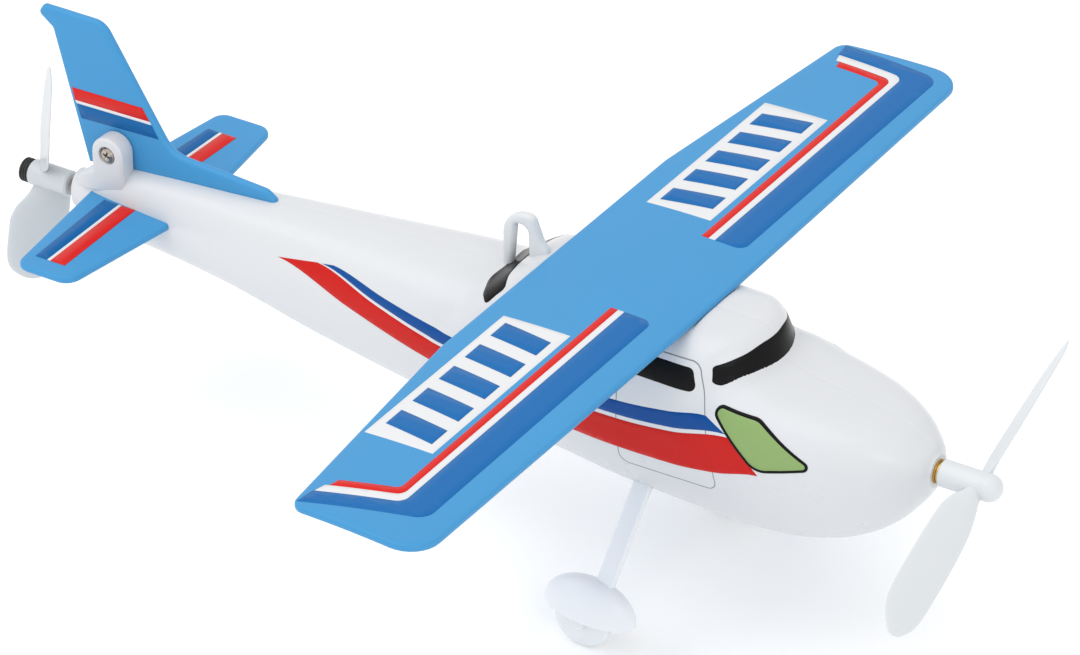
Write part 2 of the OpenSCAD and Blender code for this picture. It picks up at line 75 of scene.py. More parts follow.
# One row per frame from the tail to the nose: position, half width, height above the shaft
# line, depth below it, corner power above and below that line
HULL = np.array([
    [-136, 4.5, 6.0, 5.5, 2.2, 2.2],
    [-125, 7.6, 11.3, 8.2, 2.6, 2.3],
    [-107, 9.6, 13.3, 8.9, 2.5, 2.4],
    [-83, 11.8, 15.2, 11.1, 2.4, 2.4],
    [-47, 15.8, 18.0, 17.6, 2.4, 2.4],
    [-4, 21.3, 20.6, 22.2, 2.5, 2.4],
    [31, 23.6, 21.5, 24.6, 2.6, 2.4],
    [54, 24.4, 21.5, 27.4, 2.8, 2.4],
    [88, 24.4, 19.6, 28.9, 3.0, 2.4],
    [101, 23.4, 16.6, 28.2, 3.0, 2.4],
    [114, 20.6, 14.6, 25.2, 3.0, 2.4],
    [122, 17.2, 13.2, 21.5, 2.9, 2.4],
    [128.5, 13.6, 10.8, 16.6, 2.7, 2.3],
    [132.5, 10.4, 8.4, 12.0, 2.5, 2.2],
    [135.5, 7.2, 6.2, 7.6, 2.2, 2.1],
    [137, 4.6, 4.6, 4.6, 2, 2],
])
HALF_WIDTH, RISE, DEPTH, POWER_UP, POWER_DOWN = 1, 2, 3, 4, 5
TAIL_X, NOSE_X = HULL[0, 0], HULL[-1, 0]
WALL = 2.4
BUSH_R = 2.4

# Cabin: half width, height and corner power; then its front and rear faces, each by its
# position at a height, its lean and its bow
CABIN_HALF_W, CABIN_H, CABIN_P = 23.8, 28.3, 3.3
SCREEN_X, SCREEN_H, SCREEN_LEAN, SCREEN_BOW = 91.3, 19.5, 0.18, 0.024
REAR_X, REAR_H, REAR_LEAN, REAR_BOW = 5.6, 20.9, 1.05, 0.004
# Length and power of the rounding towards those faces, and the power that joins cabin and hull
CABIN_EDGE, CABIN_EDGE_P = 14, 6
BLEND_P = 40

# Wing: leading edge, chord, height of its crown, thickness, camber, and its taper to the tips
WING_X, WING_CHORD, WING_TOP_H = 70, 49.2, 30.5
WING_T, WING_CAMBER = 2.2, 0.9
WING_MIDDLE_X = WING_X - WING_CHORD / 2
WING_ARC_R = ((WING_CHORD / 2) ** 2 + WING_CAMBER**2) / (2 * WING_CAMBER)
HALF_SPAN = float(node_box("wing")[1][1])
TAPER_Y, TIP_SWEEP, TIP_CHORD = 56, 1.4, 39


def smooth_rows(rows, x, k):
    """Column k of rows at x, on a monotone cubic through the rows, so it never overshoots."""
    x = np.clip(x, rows[0, 0], rows[-1, 0])
    rate = np.diff(rows[:, k]) / np.diff(rows[:, 0])
    slopes = np.zeros(len(rows))
    turning = rate[:-1] * rate[1:] <= 0
    total = np.where(turning, 1, rate[:-1] + rate[1:])
    slopes[1:-1] = np.where(turning, 0, 2 * rate[:-1] * rate[1:] / total)
    i = np.clip(np.searchsorted(rows[:, 0], x, side="right") - 1, 0, len(rows) - 2)
    width = rows[i + 1, 0] - rows[i, 0]
    t = (x - rows[i, 0]) / width
    return (
        rows[i, k] * (1 + 2 * t) * (1 - t) ** 2
        + rows[i + 1, k] * (3 - 2 * t) * t**2
        + slopes[i] * width * t * (1 - t) ** 2
        - slopes[i + 1] * width * (1 - t) * t**2
    )


def hull_reach(x, a):
    """Distance from the shaft line to the hull's skin, without the cabin."""
    up = np.cos(a) >= 0
    power = np.where(up, smooth_rows(HULL, x, POWER_UP), smooth_rows(HULL, x, POWER_DOWN))
    height = np.where(up, smooth_rows(HULL, x, RISE), smooth_rows(HULL, x, DEPTH))
    across = np.abs(np.sin(a)) / smooth_rows(HULL, x, HALF_WIDTH)
    return (across**power + (np.abs(np.cos(a)) / height) ** power) ** (-1 / power)


def cabin_field(x, y, h):
    """Below zero inside the cabin."""
    front = SCREEN_X - SCREEN_LEAN * (h - SCREEN_H) - SCREEN_BOW * y * y
    rear = REAR_X + REAR_LEAN * (h - REAR_H) + REAR_BOW * y * y
    half_w = np.minimum(CABIN_HALF_W, smooth_rows(HULL, x, HALF_WIDTH) - 0.2)
    return (
        (np.abs(y) / half_w) ** CABIN_P
        + (h / CABIN_H) ** CABIN_P
        + np.maximum(0, 1 + (x - front) / CABIN_EDGE) ** CABIN_EDGE_P
        + np.maximum(0, 1 + (rear - x) / CABIN_EDGE) ** CABIN_EDGE_P
        - 1
    )


def halve(is_near, near, far, steps=24):
    """Where is_near turns false between near and far, for arrays, by halving the interval."""
    for _ in range(steps):
        middle = (near + far) / 2
        keep = is_near(middle)
        near, far = np.where(keep, middle, near), np.where(keep, far, middle)
    return near


def skin_reach(x, a):
    """Distance from the shaft line to the fuselage's skin at x, at angle a from straight up."""
    x, a = np.broadcast_arrays(np.asarray(x, float), np.asarray(a, float))
    near_cabin = (np.cos(a) > 1e-6) & (x > REAR_X - 25) & (x < SCREEN_X + 5)
    up = np.maximum(np.cos(a), 0)
    cabin = halve(
        lambda r: cabin_field(x, r * np.sin(a), r * up) < 0, np.zeros(x.shape), np.full(x.shape, 36.0)
    )
    cabin = np.where(near_cabin, cabin, 0)
    return (hull_reach(x, a) ** BLEND_P + cabin**BLEND_P) ** (1 / BLEND_P)


class SkinTable:
    """skin_reach read off a fine grid, for the many look-ups that the printed foils need."""

    STEP = 0.25
    ANGLES = 720

    def __init__(self):
        self.x = np.arange(TAIL_X, NOSE_X + self.STEP, self.STEP)
        angles = np.linspace(0, math.pi, self.ANGLES + 1)
        self.reach = skin_reach(self.x[:, None], angles[None, :])

    def __call__(self, x, a):
        """Reach at x and angle a, from the four grid points round them."""
        u = np.clip((x - TAIL_X) / self.STEP, 0, len(self.x) - 1.001)
        v = np.clip(a / math.pi * self.ANGLES, 0, self.ANGLES - 0.001)
        i, j = u.astype(int), v.astype(int)
        u, v = u - i, v - j
        low = self.reach[i, j] * (1 - v) + self.reach[i, j + 1] * v
        high = self.reach[i + 1, j] * (1 - v) + self.reach[i + 1, j + 1] * v
        return low * (1 - u) + high * u


skin_table = SkinTable()


def wing_under_h(x):
    """Height of the wing's underside above the shaft line."""
    inner = WING_ARC_R - WING_T
    return WING_TOP_H - WING_ARC_R + np.sqrt(inner**2 - (x - WING_MIDDLE_X) ** 2)


# ---------------- places for flat outlines


def lifted(surface, points):
    """Points (u, v, w) at surface(u, v), raised w along the surface's outward normal."""
    u, v, w = points.T
    step = 0.25
    here = surface(u, v)
    along = surface(u + step, v) - surface(u - step, v)
    across = surface(u, v + step) - surface(u, v - step)
    normal = np.cross(along, across)
    normal /= np.linalg.norm(normal, axis=1)[:, None]
    outward = here - np.stack([here[:, 0], 0 * u, 0 * u + SHAFT_H], 1)
    normal *= np.sign(np.sum(normal * outward, axis=1))[:, None]
    return here + normal * w[:, None]


def on_side(side):
    """Maps an outline drawn from the side, (x, h), to the fuselage's skin."""

    def surface(x, h):
        a = halve(lambda a: skin_table(x, a) * np.cos(a) > h, 0 * x, 0 * x + math.pi)
        return np.stack([x, side * skin_table(x, a) * np.sin(a), SHAFT_H + h], 1)

    return lambda points: lifted(surface, points)


def on_windscreen(points):
    """Maps an outline drawn from the front, (y, h), to the cabin's front."""

    def surface(y, h):
        a, reach = np.arctan2(np.abs(y), h), np.hypot(y, h)
        x = halve(lambda x: skin_table(x, a) > reach, 0 * y + 70, 0 * y + 98)
        return np.stack([x, y, SHAFT_H + h], 1)

    return lifted(surface, points)


def on_roof(points):
    """Maps an outline drawn from above, (x, y), to the fuselage's top."""

    def surface(x, y):
        a = halve(lambda a: skin_table(x, a) * np.sin(a) < np.abs(y), 0 * x, 0 * x + math.pi / 2)
        return np.stack([x, y, SHAFT_H + skin_table(x, a) * np.cos(a)], 1)

    return lifted(surface, points)


def on_wing(points):
    """Maps (x, y, w) to the wing, w above the middle of its thickness."""
    x, y, w = points.T
    middle = WING_ARC_R - WING_T / 2
    drop = middle - np.sqrt(middle**2 - (x - WING_MIDDLE_X) ** 2)
    return np.stack([x, y, SHAFT_H + WING_TOP_H - WING_T / 2 - drop + w], 1)


def level(h):
    """Maps (x, y, w) to the level plane h above the shaft line."""
    return lambda points: points + [0, 0, SHAFT_H + h]


def upright(y):
    """Maps (x, h, w) to the upright plane at y."""
    return lambda points: np.stack([points[:, 0], y + points[:, 2], SHAFT_H + points[:, 1]], 1)


# ---------------- outlines and meshes

# A triangle is dropped as a sliver when its area is below this share of its longest side squared
SLIVER_SHARE = 1e-4


def rounded(corners, steps=8):
    """Outline with round corners: each corner is (x, y, radius)."""
    points = []
    count = len(corners)
    for i, (x, y, radius) in enumerate(corners):
        here = np.array([x, y], float)
        if radius == 0:
            points.append(here)
            continue
        before = np.array(corners[i - 1][:2], float) - here
        after = np.array(corners[(i + 1) % count][:2], float) - here
        before /= np.linalg.norm(before)
        after /= np.linalg.norm(after)
        half = math.acos(np.clip(before @ after, -1, 1)) / 2
        bisector = (before + after) / np.linalg.norm(before + after)
        centre = here + bisector * radius / math.sin(half)
        start = here + before * radius / math.tan(half) - centre
        end = here + after * radius / math.tan(half) - centre
        start_a = math.atan2(start[1], start[0])
        sweep = (math.atan2(end[1], end[0]) - start_a + math.pi) % (2 * math.pi) - math.pi
        for a in np.linspace(start_a, start_a + sweep, steps + 1):
            points.append(centre + radius * np.array([math.cos(a), math.sin(a)]))
    return np.array(points)


def box_corners(x0, y0, x1, y1):
    """Corners of an upright rectangle, in order round it."""
    return [(x0, y0), (x1, y0), (x1, y1), (x0, y1)]


def dense(loop, step):
    """The loop with points added so that no side is longer than step."""
    points = []
    for here, after in zip(loop, np.roll(loop, -1, axis=0)):
        parts = max(1, math.ceil(np.linalg.norm(after - here) / step))
        points += [here + (after - here) * i / parts for i in range(parts)]
    return np.array(points)


def signed_area(loop):
    """Area inside the loop, below zero if it runs clockwise."""
    x, y = loop.T
    return float(np.sum(x * np.roll(y, -1) - y * np.roll(x, -1))) / 2


def moved_left(loop, distance):
    """The loop moved towards its left-hand side, its corners mitred."""
    side = np.roll(loop, -1, axis=0) - loop
    side /= np.linalg.norm(side, axis=1)[:, None]
    after = np.stack([-side[:, 1], side[:, 0]], 1)
    before = np.roll(after, 1, axis=0)
    return loop + distance * (before + after) / (1 + np.sum(before * after, axis=1))[:, None]


def within(points, loops):
    """Which points lie inside the first loop and outside the others."""
    x, y = points[:, :1], points[:, 1:]
    crossings = np.zeros(len(points), int)
    for loop in loops:
        (x0, y0), (x1, y1) = loop.T, np.roll(loop, -1, axis=0).T
        spans = (y0 > y) != (y1 > y)
        rise = np.where(y1 == y0, 1, y1 - y0)
        crossings += np.sum(spans & (x < x0 + (y - y0) * (x1 - x0) / rise), axis=1)
    return crossings % 2 == 1


def filling(loops, step):
    """Grid points inside the loops, at least half a step from their sides."""
    low, high = loops[0].min(0), loops[0].max(0)
    axes = [np.arange(low[i] + step / 2, high[i], step) for i in (0, 1)]
    grid = np.stack(np.meshgrid(*axes), -1).reshape(-1, 2)
    grid = grid[within(grid, loops)]
    border = np.concatenate(loops)
    if not len(grid):
        return grid
    nearest = np.linalg.norm(grid[:, None] - border[None], axis=2).min(1)
    return grid[nearest > step / 2]


def edge_profile(thickness, edge, arc_steps):
    """Rounded edge of a plate, from bottom to top, as (inset, height off mid-plane)."""
    bends = np.linspace(0, math.pi / 2, arc_steps + 1)
    above = [(edge * (1 - math.cos(b)), thickness / 2 - edge + edge * math.sin(b)) for b in bends]
    return [(inset, -w) for inset, w in reversed(above)] + above


def loop_sides(starts):
    """Pairs of neighbouring points on loops that are numbered through, from their start numbers."""
    sides = []
    for start, end in zip(starts[:-1], starts[1:]):
        sides += [(j, j + 1 if j + 1 < end else start) for j in range(start, end)]
    return sides


def triangulated(loops, fill, sides):
    """Triangles between the loops, as numbers into the loops' points followed by fill's."""
    flat = [Vector(p) for p in np.concatenate(loops + [fill])]
    spots, _, triangles, sources, _, _ = delaunay_2d_cdt(flat, sides, [], 0, 1e-7)
    spots = np.array([list(p) for p in spots])
    triangles = np.array([t for t in triangles if len(t) == 3])
    corners = spots[triangles]
    spans = np.roll(corners, -1, axis=1) - corners
    area = np.abs(spans[:, 0, 0] * spans[:, 1, 1] - spans[:, 0, 1] * spans[:, 1, 0]) / 2
    longest_squared = np.sum(spans**2, axis=2).max(1)
    solid = area > SLIVER_SHARE * longest_squared
    source = np.array([s[0] for s in sources])
    return source[triangles[solid & within(corners.mean(1), loops)]]


def plate_mesh(outlines, thickness, edge, place, step=2.0, arc_steps=4):
    """Points and faces of a closed plate: outlines are an outer loop and holes, edge is the
    radius of its rounded edges, and place maps points (u, v, height off mid-plane) to space."""
    loops = []
    for i, outline in enumerate(outlines):
        loop = dense(np.asarray(outline, float), step)
        loops.append(loop if (signed_area(loop) > 0) == (i == 0) else loop[::-1])
    starts = np.cumsum([0] + [len(loop) for loop in loops]).tolist()
    total = starts[-1]
    sides = loop_sides(starts)
    profile = edge_profile(thickness, edge, arc_steps)
    points, faces = [], []
    for r, (inset, w) in enumerate(profile):
        ring = np.concatenate([moved_left(loop, inset) for loop in loops])
        points.append(np.column_stack([ring, np.full(total, w)]))
        if r > 0:
            low, high = (r - 1) * total, r * total
            faces += [[low + j, low + k, high + k, high + j] for j, k in sides]
    inner = [moved_left(loop, edge) for loop in loops]
    fill = filling(inner, step)
    for w in (profile[-1][1], profile[0][1]):
        points.append(np.column_stack([fill, np.full(len(fill), w)]))
    cap = triangulated(inner, fill, sides)
    top_ring, fill_top = (len(profile) - 1) * total, len(profile) * total
    fill_bottom = fill_top + len(fill)
    on_border = cap < total
    top = np.where(on_border, top_ring + cap, fill_top + cap - total)
    bottom = np.where(on_border, cap, fill_bottom + cap - total)
    faces += top.tolist() + bottom[:, ::-1].tolist()
    return place(np.concatenate(points)), faces


def ring_faces(rows, count, closed=False):
    """Quads between rows of count points round a body; closed joins the last row to the first."""
    faces = []
    for i in range(rows if closed else rows - 1):
        here, after = i * count, (i + 1) % rows * count
        for j in range(count):
            k = (j + 1) % count
            faces.append([here + j, here + k, after + k, after + j])
    return faces


def turned_mesh(profile, axis, centre, segments=64):
    """Points and faces of a solid of revolution: profile is a closed loop of (along, radius)."""
    profile = np.asarray(profile, float)
    turn = np.linspace(0, 2 * math.pi, segments, endpoint=False)
    along = np.repeat(profile[:, :1], segments, 1)
    first = profile[:, 1:] * np.cos(turn)
    second = profile[:, 1:] * np.sin(turn)
    order = {"X": (along, first, second), "Y": (second, along, first), "Z": (first, second, along)}
    points = np.stack(order[axis], -1).reshape(-1, 3) + centre
    return points, ring_faces(len(profile), segments, closed=True)


def loft_mesh(sections):
    """Points and faces of a closed solid through sections, which are loops of equal length."""
    sections = np.asarray(sections, float)
    rows, count = sections.shape[:2]
    ends = [list(range(count))[::-1], [(rows - 1) * count + j for j in range(count)]]
    return sections.reshape(-1, 3), ends + ring_faces(rows, count)


# ---------------- objects


def new_object(name, points, faces):
    """Object from points in millimetres, with doubled points and flat slivers cleaned away."""
    mesh = bpy.data.meshes.new(name)
    mesh.from_pydata((np.asarray(points) * MM).tolist(), [], faces)
    work = bmesh.new()
    work.from_mesh(mesh)
    bmesh.ops.remove_doubles(work, verts=work.verts, dist=2e-7)
    bmesh.ops.dissolve_degenerate(work, edges=work.edges, dist=1e-7)
    bmesh.ops.recalc_face_normals(work, faces=work.faces)
    work.to_mesh(mesh)
    work.free()
    obj = bpy.data.objects.new(name, mesh)
    bpy.context.scene.collection.objects.link(obj)
    return obj


def combine(target, tool, operation):
    """Applies a boolean of target with tool, and removes tool."""
    modifier = target.modifiers.new("combine", "BOOLEAN")
    modifier.operation = operation
    modifier.solver = "EXACT"
    modifier.object = tool
    bpy.context.view_layer.update()
    result = target.evaluated_get(bpy.context.evaluated_depsgraph_get())
    mesh = bpy.data.meshes.new_from_object(result)
    target.modifiers.clear()
    target.data = mesh
    bpy.data.objects.remove(tool)
    return target


def finish_piece(obj, finish, body="airframe", node=None, crease=35):
    """Gives a piece its material, smooth shading up to the crease angle and its body, if any, and hides the
    CAD node that it stands in for, if any.
    """
    obj.data.materials.clear()
    obj.data.materials.append(finish)
    obj.data.polygons.foreach_set("use_smooth", [True] * len(obj.data.polygons))
    obj.data.set_sharp_from_angle(angle=math.radians(crease))
    if body:
        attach(obj, body)
    if node:
        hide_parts(node)
    return obj


# ---------------- materials


# The colour sockets of a Mix node, whose names its other sockets share
MIX_A, MIX_B, MIX_RESULT = 6, 7, 2


def linear(red, green, blue):
    """An 8-bit display colour as the linear one that shaders take."""
    values = [c / 255 for c in (red, green, blue)]
    return [c / 12.92 if c <= 0.04045 else ((c + 0.055) / 1.055) ** 2.4 for c in values]


def set_inputs(node, **values):
    """Sets a node's input sockets by name, with _ for each space."""
    for socket, value in values.items():
        node.inputs[socket.replace("_", " ")].default_value = value
    return node


def noise(tree, scale, detail, stretch=(1, 1, 1)):
    """Noise in the object's own metres; scale is in features per metre."""
    coordinates = tree.nodes.new("ShaderNodeTexCoord")
    mapping = set_inputs(tree.nodes.new("ShaderNodeMapping"), Scale=stretch)
    texture = set_inputs(tree.nodes.new("ShaderNodeTexNoise"), Scale=scale, Detail=detail)
    tree.links.new(coordinates.outputs["Object"], mapping.inputs["Vector"])
    tree.links.new(mapping.outputs["Vector"], texture.inputs["Vector"])
    return texture.outputs["Fac"]


def finish(
    name, colour, roughness, mottle=0.03, patch=45, grain=900, relief=0.02, stretch=(1, 1, 1), **uniform
):
    """Principled material whose colour drifts in soft patches, with uneven gloss and a fine grain.
    mottle is the drift in brightness, patch and grain are in features per metre, relief is in mm,
    and uniform names further sockets of the shader."""
    material = bpy.data.materials.new(name)
    material.use_nodes = True
    tree = material.node_tree
    shader = tree.nodes["Principled BSDF"]
    drift = noise(tree, patch, 3)
    blend = tree.nodes.new("ShaderNodeMix")
    blend.data_type = "RGBA"
    blend.inputs[MIX_A].default_value = [c * (1 - mottle) for c in colour] + [1]
    blend.inputs[MIX_B].default_value = [min(1, c * (1 + mottle)) for c in colour] + [1]
    tree.links.new(drift, blend.inputs["Factor"])
    tree.links.new(blend.outputs[MIX_RESULT], shader.inputs["Base Color"])
    fine = noise(tree, grain, 4, stretch)
    gloss = set_inputs(tree.nodes.new("ShaderNodeMapRange"), From_Min=0.3, From_Max=0.7)
    set_inputs(gloss, To_Min=roughness * 0.85, To_Max=roughness * 1.2)
    tree.links.new(drift, gloss.inputs["Value"])
    tree.links.new(gloss.outputs["Result"], shader.inputs["Roughness"])
    bump = set_inputs(tree.nodes.new("ShaderNodeBump"), Strength=1, Distance=relief * MM)
    tree.links.new(fine, bump.inputs["Height"])
    tree.links.new(bump.outputs["Normal"], shader.inputs["Normal"])
    set_inputs(shader, **uniform)
    return material


def moulded(name, colour, roughness, **more):
    """Injection-moulded plastic: a clear gloss over a faint ripple."""
    settings = {"grain": 260, "relief": 0.012}
    settings |= {"Specular_IOR_Level": 0.35, "Coat_Weight": 0.1, "Coat_Roughness": 0.12}
    return finish(name, colour, roughness, **{**settings, **more})


def milky(name, colour, **more):
    """Unpigmented plastic that lets some light through."""
    settings = {"Subsurface_Weight": 0.2, "Subsurface_Scale": 0.002, "Subsurface_Radius": (1, 1, 1)}
    return moulded(name, colour, 0.3, **{**settings, **more})


def foil(name, colour):
    """Printed sticker film."""
    return finish(name, colour, 0.34, mottle=0.02, grain=1500, relief=0.004, Specular_IOR_Level=0.18)


def metal(name, colour, roughness, stretch):
    """Turned metal, whose fine lines run across the axis that has the largest stretch."""
    return finish(
        name, colour, roughness, mottle=0.08, patch=400, grain=1500, relief=0.006, stretch=stretch, Metallic=1
    )


WHITE = moulded("white_plastic", linear(206, 208, 211), 0.3, mottle=0.012, grain=160, relief=0.006)
PROP_WHITE = moulded("propeller_plastic", linear(207, 211, 214), 0.34, mottle=0.02)
BLUE = finish(
    "blue_plastic", linear(65, 143, 196), 0.36, mottle=0.03, grain=1400, relief=0.008, Specular_IOR_Level=0.2
)
MILKY = milky("milky_plastic", linear(226, 229, 233))
GREY_MILKY = milky("grey_milky_plastic", linear(190, 195, 199))
WINDOW = finish(
    "window_foil", linear(20, 20, 21), 0.25, mottle=0.15, grain=500, relief=0.006, Specular_IOR_Level=0.09
)
WING_BAND = foil("wing_band_foil", linear(14, 99, 165))
DEEP_BLUE = foil("deep_blue_foil", linear(5, 92, 154))
RED = foil("red_foil", linear(205, 28, 20))
# Cheatline colours: the printed blue and red, made darker by painted shade from the wing
SHADED_LINE_BLUE = foil("blue_line_foil_painted_shade", linear(2, 70, 140))
SHADED_LINE_RED = foil("red_line_foil_painted_shade", linear(190, 21, 14))
PAPER = foil("white_foil", linear(216, 217, 219))
GREEN = foil("green_foil", linear(134, 163, 102))
# Grey for the door's moulded groove: painted shade, a strip on the skin in place of a recess
PAINTED_GROOVE_SHADE = finish("painted_groove_shade", linear(130, 132, 136), 0.6, mottle=0.1, Specular_IOR_Level=0.2)
BRASS = metal("brass", linear(196, 158, 84), 0.28, (1, 1, 8))
STEEL = metal("steel", linear(196, 192, 186), 0.25, (8, 1, 1))
NICKEL = metal("nickel", linear(176, 168, 158), 0.3, (1, 6, 1))
BLACK_RUBBER = finish("black_rubber", linear(30, 30, 31), 0.55, mottle=0.2, grain=1800, relief=0.02)
BAND_RUBBER = finish("band_rubber", linear(190, 158, 112), 0.5, mottle=0.1, grain=1200, relief=0.02)


# ---------------- fuselage

# The wing's seat in the roof: its ends, the gap under the wing, and how far down the sides the
# cut may reach, as the cosine of the angle from straight up
SEAT_START, SEAT_END = WING_X - WING_CHORD - 0.15, WING_X + 0.15
SEAT_GAP, SEAT_COS = 0.1, 0.3


def fuselage_frames():
    """Positions along the fuselage, close together where its shape turns fast."""
    stretches = [
        np.arange(TAIL_X, -10, 1.25),
        np.arange(-10, 22, 0.6),
        np.arange(22, 74, 1.5),
        np.arange(74, 99, 0.5),
        np.arange(99, 124, 1.0),
        np.arange(124, NOSE_X, 0.4),
    ]
    seat_steps = [x + d for x in (SEAT_START, SEAT_END) for d in (-0.02, 0.02)]
    return np.unique(np.concatenate(stretches + [seat_steps, [NOSE_X]]))


def outer_reach(x, a):
    """Reach of the skin, cut down to the wing's seat where the wing lies on it."""
    reach = skin_reach(x, a)
    seated = (x > SEAT_START) & (x < SEAT_END) & (np.cos(a) > SEAT_COS)
    limit_h = wing_under_h(np.clip(x, SEAT_START, SEAT_END)) - SEAT_GAP
    limit = limit_h / np.maximum(np.cos(a), SEAT_COS)
    return np.where(seated, np.minimum(reach, limit), reach)


def inner_reach(x, a):
    """Reach of the shell's inside, never nearer the shaft line than the bushes' holes."""
    nearby = [outer_reach(np.clip(x + d, TAIL_X, NOSE_X), a) for d in (-WALL, 0, WALL)]
    reach = np.minimum.reduce(nearby) - 0.7 * WALL
    ends = (x > NOSE_X - WALL) | (x < TAIL_X + WALL)
    return np.where(ends, BUSH_R, np.maximum(reach, BUSH_R))


def fuselage_half(name, node, side):
    """Hollow half shell with a fine groove along the seam."""
    seam_w, seam_depth = 0.3, 0.12
    ring_points = 76
    x = fuselage_frames()[:, None]
    top_step = seam_w / skin_reach(x, 0.0 * x)
    bottom_step = seam_w / skin_reach(x, 0.0 * x + math.pi)
    share = np.linspace(0, 1, ring_points)[None, :]
    between = top_step + (math.pi - bottom_step - top_step) * share
    a = np.concatenate([0 * x, between, 0 * x + math.pi], axis=1)
    outer = outer_reach(x + 0 * a, a)
    outer[:, [0, -1]] -= seam_depth
    inner = inner_reach(x + 0 * a, a)
    reach = np.concatenate([outer, inner[:, ::-1]], axis=1)
    a = np.concatenate([a, a[:, ::-1]], axis=1)
    shape = [x + 0 * a, side * reach * np.sin(a), SHAFT_H + reach * np.cos(a)]
    points = np.stack(shape, -1)
    rows, count = a.shape
    faces = ring_faces(rows, count)
    for row in (0, rows - 1):
        for j in range(count // 2 - 1):
            corners = [j, j + 1, count - 2 - j, count - 1 - j]
            faces.append([row * count + c for c in corners])
    shell = new_object(name, points.reshape(-1, 3), faces)
    return finish_piece(shell, WHITE, node=node, crease=40)


# Fin clamp: where its screw goes through, the ears' round end, their foot and width
LUG_X, LUG_H, LUG_R, LUG_FOOT_H, LUG_HALF_W = -121, 18.2, 5.2, 8.3, 7.2
FIN_T = 2.6
SCREW_HEAD_R = 2.25


def lug_ear(side, label):
    """Ear of the fin's clamp, with a shoulder that runs down to the tail."""
    outline = rounded([
        (LUG_X - LUG_R - 6, LUG_FOOT_H - 3, 0.9),
        (LUG_X - LUG_R - 4.5, LUG_FOOT_H + 1.5, 3),
        (LUG_X - LUG_R, LUG_FOOT_H + 3.8, 2),
        (LUG_X - LUG_R, LUG_H + LUG_R, LUG_R - 0.05),
        (LUG_X + LUG_R, LUG_H + LUG_R, LUG_R - 0.05),
        (LUG_X + LUG_R, LUG_FOOT_H - 3, 0.9),
    ])
    inner_y = FIN_T / 2 + 0.1
    thickness = LUG_HALF_W - inner_y
    place = upright(side * (inner_y + thickness / 2))
    ear = new_object(f"tail_lug_{label}", *plate_mesh([outline], thickness, 0.8, place, step=1.2))
    if side == STARBOARD:
        recess = [(-8.5, 0), (-8.5, 2.9), (-7.1, 2.75), (-5.7, 2.6), (-5.7, 0)]
        tool = new_object("recess", *turned_mesh(recess, "Y", (LUG_X, 0, SHAFT_H + LUG_H), 48))
        combine(ear, tool, "DIFFERENCE")
    return finish_piece(ear, WHITE, crease=30)


# ---------------- wing and tail


TAILPLANE_TOP_H, TAILPLANE_T = 4.9, 2.2


def wing_outline():
    """Seen from above: straight in the middle, tapered and swept towards round tips."""
    tip_x = WING_X - TIP_SWEEP
    half = [
        (tip_x, HALF_SPAN, 9),
        (tip_x - TIP_CHORD, HALF_SPAN - 1.5, 4),
        (WING_X - WING_CHORD, TAPER_Y, 30),
    ]
    return rounded([(WING_X, 0, 0)] + half + [(x, -y, r) for x, y, r in reversed(half)])


def fin_outline():
    """Seen from the side, with the hooked top corner and the long fillet in front."""
    return rounded([
        (-131.8, 10, 0),
        (-142.2, 49.6, 1.5),
        (-147, 53.2, 1.4),
        (-145.2, 55.9, 1.4),
        (-125, 55.9, 6),
        (-103.4, 21.2, 9),
        (-72, 19.2, 4),
        (-66.6, 15.4, 1.3),
        (-83, 13.4, 0),
        (-107, 11.5, 0),
    ])


def tailplane_outline():
    """Seen from above, both halves in one piece."""
    half = [
        (-128, 4, 0),
        (-122, 49, 4),
        (-104, 49, 5),
        (-98.5, 11, 3),
    ]
    return rounded([(x, -y, r) for x, y, r in half] + half[::-1])


def wings_and_tail():
    wing = new_object("wing_skin", *plate_mesh([wing_outline()], WING_T, 0.85, on_wing, step=2.5))
    finish_piece(wing, BLUE, node="wing", crease=50)
    fin = new_object("fin_skin", *plate_mesh([fin_outline()], FIN_T, 1.1, upright(0), step=2))
    finish_piece(fin, BLUE, node="fin", crease=50)
    place = level(TAILPLANE_TOP_H - TAILPLANE_T / 2)
    plate = plate_mesh([tailplane_outline()], TAILPLANE_T, 0.9, place, step=2)
    tailplane = new_object("tailplane_skin", *plate)
    finish_piece(tailplane, BLUE, node="tailplane", crease=50)


# ---------------- printed foils

FOIL_T = 0.12


def print_foil(name, outlines, place, offset, material, step=1.2):
    """Thin film on a surface; offset is the height of that surface over place's w = 0."""

    def raised(points):
        return place(points + [0, 0, offset])

    points, faces = plate_mesh(outlines, FOIL_T, 0.04, raised, step=step, arc_steps=1)
    return finish_piece(new_object(name, points, faces), material, crease=50)


def outline_strip(loop, width):
    """Outer and inner outline of a line of this width drawn along a loop."""
    loop = dense(loop, 1.0)
    if signed_area(loop) < 0:
        loop = loop[::-1]
    return [moved_left(loop, -width / 2), moved_left(loop, width / 2)]


